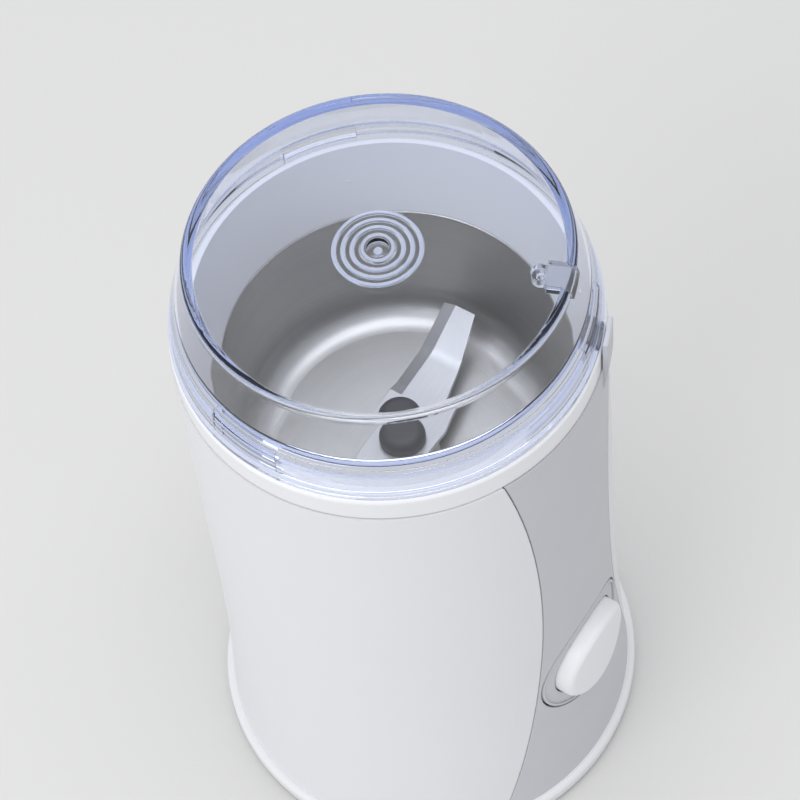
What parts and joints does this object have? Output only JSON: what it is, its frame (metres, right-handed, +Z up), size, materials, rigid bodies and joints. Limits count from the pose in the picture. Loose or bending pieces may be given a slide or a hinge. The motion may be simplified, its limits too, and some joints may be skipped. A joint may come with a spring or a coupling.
{
  "type": "blade grinder",
  "caption": "Blade grinder: flared tube body with hourglass front panel, round push button, steel bowl with blade, universal motor and clear push-on lid",
  "frame": {"origin": "centre of the feet, on the table", "axes": "Z up along the motor shaft, the button and grey panel face -Y, X to the right seen from the button"},
  "size_m": [0.102, 0.102, 0.1784],
  "materials": {
    "white_plastic": "smooth moulded white",
    "grey_plastic": "fine satin grey",
    "button_plastic": "smooth moulded white",
    "clear_plastic": "clear moulded plastic with a blue tint at the edges",
    "bowl_steel": "drawn and brushed stainless sheet",
    "blade_steel": "ground stainless strip",
    "shaft_steel": "turned steel",
    "lamination_steel": "stacked sheet, oiled",
    "bracket_metal": "die cast",
    "copper_wire": "varnished winding wire",
    "bronze": "sintered bush",
    "carbon": "pressed carbon",
    "dark_plastic": "moulded black",
    "natural_plastic": "unpainted moulding",
    "rubber": "moulded",
    "fastener_steel": "zinc plated",
    "spring_steel": "drawn wire"
  },
  "bodies": {
    "body": {"housing": "white_plastic", "collar_ring": "white_plastic", "base_cover": "white_plastic", "front_panel": "grey_plastic", "button_surround": "grey_plastic", "grinding_bowl": "bowl_steel", "stator_core": "lamination_steel", "upper_bracket": "bracket_metal", "lower_bracket": "bracket_metal", "field_coil_rear": "copper_wire", "field_coil_front": "copper_wire", "upper_bush": "bronze", "lower_bush": "bronze", "carbon_brush_right": "carbon", "carbon_brush_left": "carbon", "switch_body": "dark_plastic", "safety_switch": "dark_plastic", "brush_holder_right": "dark_plastic", "brush_holder_left": "dark_plastic", "cord_gland": "dark_plastic", "terminal_block": "dark_plastic", "bowl_cup": "dark_plastic", "button_carrier": "natural_plastic", "interlock_guide": "natural_plastic", "suppression_capacitor": "natural_plastic", "thermal_fuse": "natural_plastic", "rubber_feet": "rubber", "motor_mounts": "rubber", "shaft_seal": "rubber", "base_screws": "fastener_steel", "switch_screws": "fastener_steel", "cup_screws": "fastener_steel", "stator_bolts": "fastener_steel", "motor_screws": "fastener_steel", "button_spring": "spring_steel", "interlock_spring": "spring_steel", "brush_spring_right": "spring_steel", "brush_spring_left": "spring_steel"},
    "lid": {"lid": "clear_plastic"},
    "rotor": {"motor_shaft": "shaft_steel", "blade": "blade_steel", "blade_nut": "dark_plastic", "armature_core": "lamination_steel", "armature_windings": "copper_wire", "commutator": "copper_wire", "cooling_fan": "dark_plastic"},
    "button": {"power_button": "button_plastic"},
    "switch_pin": {"switch_plunger": "natural_plastic"},
    "slider": {"interlock_slider": "natural_plastic"},
    "safety_pin": {"safety_plunger": "natural_plastic"}
  },
  "joints": [
    {"name": "lid_lift", "type": "slide", "parent": "body", "child": "lid", "axis": [0, 0, 1], "range_m": [0, 0.045]},
    {"name": "blade_spin", "type": "hinge", "parent": "body", "child": "rotor", "pos_m": [0, 0, 0.11], "axis": [0, 0, 1], "continuous": true},
    {"name": "button_press", "type": "slide", "parent": "body", "child": "button", "axis": [0, 1, 0], "range_m": [0, 0.003], "stiffness_N_per_m": 400, "springref_m": -0.002, "deforming": ["button_spring"]},
    {"name": "switch_plunger_slide", "type": "slide", "parent": "body", "child": "switch_pin", "axis": [0, 1, 0], "range_m": [0, 0.003]},
    {"name": "interlock_slide", "type": "slide", "parent": "body", "child": "slider", "axis": [0, 0, 1], "range_m": [0, 0.003], "deforming": ["interlock_spring"]},
    {"name": "safety_plunger_slide", "type": "slide", "parent": "body", "child": "safety_pin", "axis": [0, 0, 1], "range_m": [0, 0.002]}
  ],
  "couplings": [
    {"joint": "switch_plunger_slide", "follows": "button_press", "ratio": 1},
    {"joint": "interlock_slide", "follows": "lid_lift", "ratio": 0.066},
    {"joint": "safety_plunger_slide", "follows": "lid_lift", "ratio": 0.044}
  ]
}
